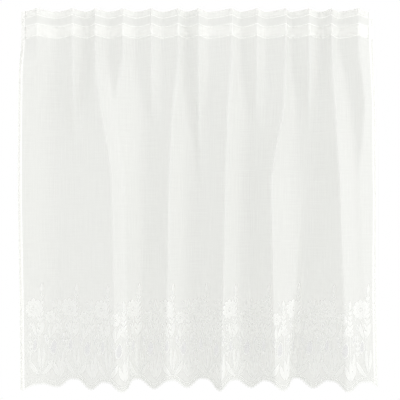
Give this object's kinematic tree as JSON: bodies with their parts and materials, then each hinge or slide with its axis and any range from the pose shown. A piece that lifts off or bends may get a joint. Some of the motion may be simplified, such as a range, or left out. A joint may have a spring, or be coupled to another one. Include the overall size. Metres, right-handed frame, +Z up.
{
  "type": "lace curtain",
  "caption": "Short sheer curtain hanging in gathered folds, with a tape heading, hemmed sides, an openwork lace border and a scalloped foot.",
  "frame": {"origin": "middle of the top edge, midway between the front and the back of the gathers", "axes": "+Z up the cloth, -Y out of the front, +X to the right seen from the front"},
  "size_m": [0.7068, 0.0719, 0.75],
  "materials": {
    "voile": "sheer",
    "tape": "matte"
  },
  "bodies": {
    "root": {"panel": "voile", "heading_tape": "tape"}
  },
  "joints": []
}
